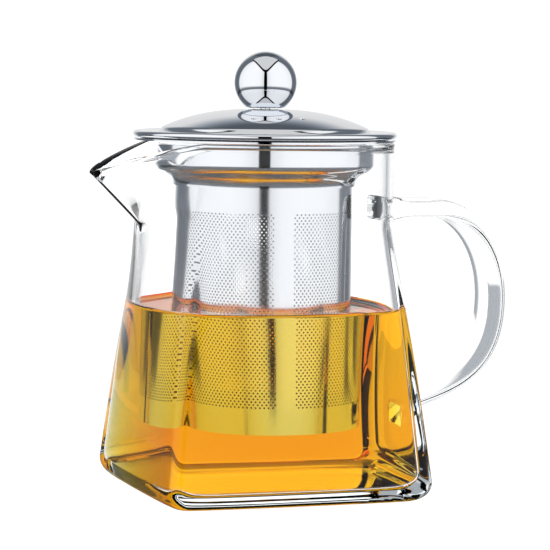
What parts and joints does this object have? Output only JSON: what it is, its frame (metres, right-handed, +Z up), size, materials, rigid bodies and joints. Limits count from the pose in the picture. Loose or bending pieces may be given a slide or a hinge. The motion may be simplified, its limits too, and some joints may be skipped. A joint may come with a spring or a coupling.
{
  "type": "glass teapot",
  "caption": "Clear glass teapot with a square foot, round mouth, drawn beak spout and strap handle, a hanging perforated steel infuser and a domed steel lid with a ball knob",
  "frame": {"origin": "on the vertical axis of the mouth, infuser and lid, at the height of the surface that the teapot stands on", "axes": "+Z up, +X towards the handle, -X towards the spout"},
  "size_m": [0.1422, 0.09, 0.1434],
  "materials": {
    "glass": "clear, fire-polished, smooth",
    "polished_steel": "mirror-polished stainless steel",
    "satin_steel": "bright stainless steel sheet, slightly satin"
  },
  "bodies": {
    "pot": {"glass_jug": "glass", "handle": "glass"},
    "infuser": {"infuser_collar": "polished_steel", "strainer_tube": "satin_steel", "strainer_bottom": "satin_steel"},
    "lid": {"lid_shell": "polished_steel", "lid_skirt": "satin_steel", "knob_ball": "polished_steel", "knob_insert": "satin_steel", "screw_washer": "satin_steel", "lid_screw": "satin_steel"}
  },
  "joints": [
    {"name": "infuser_lift", "type": "slide", "parent": "pot", "child": "infuser", "axis": [0, 0, 1], "range_m": [0, 0.11]},
    {"name": "lid_lift", "type": "slide", "parent": "infuser", "child": "lid", "axis": [0, 0, 1], "range_m": [0, 0.04]}
  ]
}
